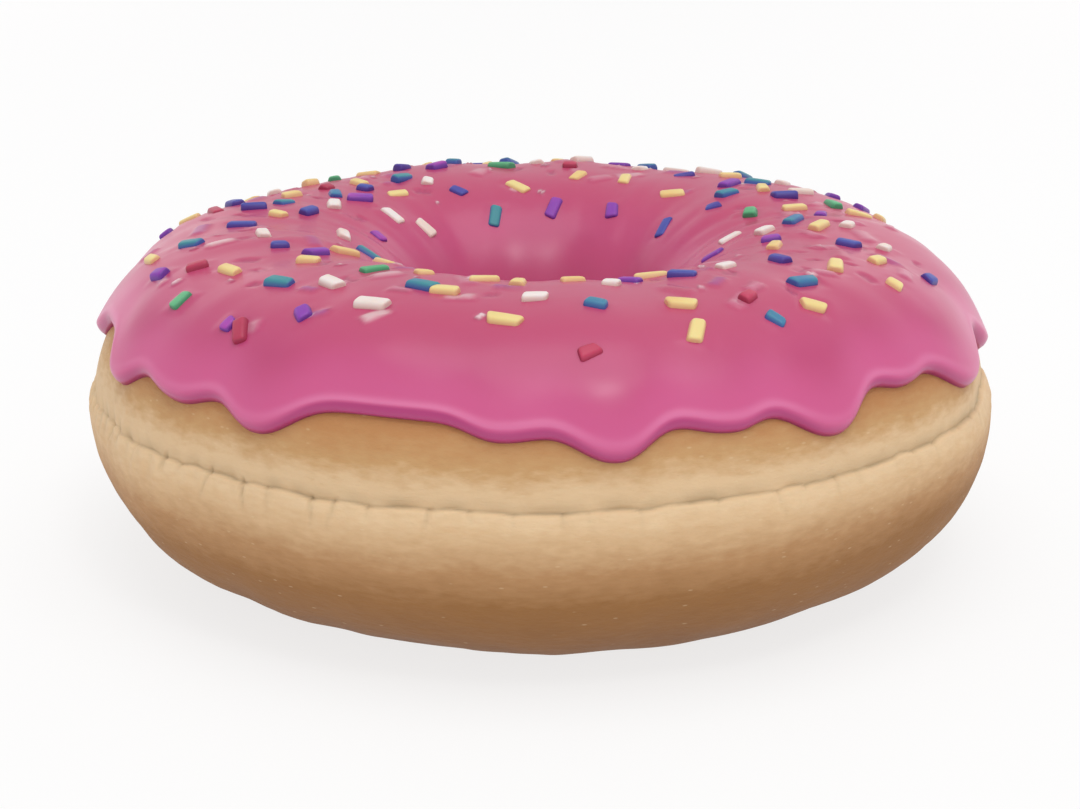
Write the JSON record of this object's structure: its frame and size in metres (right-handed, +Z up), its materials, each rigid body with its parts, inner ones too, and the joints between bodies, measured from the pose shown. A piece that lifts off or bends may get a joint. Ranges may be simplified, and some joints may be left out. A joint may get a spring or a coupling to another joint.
{
  "type": "sprinkled ring doughnut",
  "caption": "Round baked ring doughnut with a seam round its side, a dripping coat of pink icing and short rod sprinkles.",
  "frame": {"origin": "on the table, under the middle of the doughnut's hole", "axes": "+Z up along the axis of the hole, -Y towards the front, +X to the right"},
  "size_m": [0.096, 0.0964, 0.0354],
  "materials": {
    "baked_dough": "baked golden brown, matt, paler along the seam",
    "pink_icing": "set sugar icing, smooth, half gloss",
    "yellow_sugar": "pressed sugar, soft gloss",
    "purple_sugar": "pressed sugar, soft gloss",
    "cream_sugar": "pressed sugar, soft gloss",
    "teal_sugar": "pressed sugar, soft gloss",
    "navy_sugar": "pressed sugar, soft gloss",
    "green_sugar": "pressed sugar, soft gloss",
    "red_sugar": "pressed sugar, soft gloss"
  },
  "bodies": {
    "root": {"dough_ring": "baked_dough", "pink_icing": "pink_icing"}
  },
  "joints": []
}
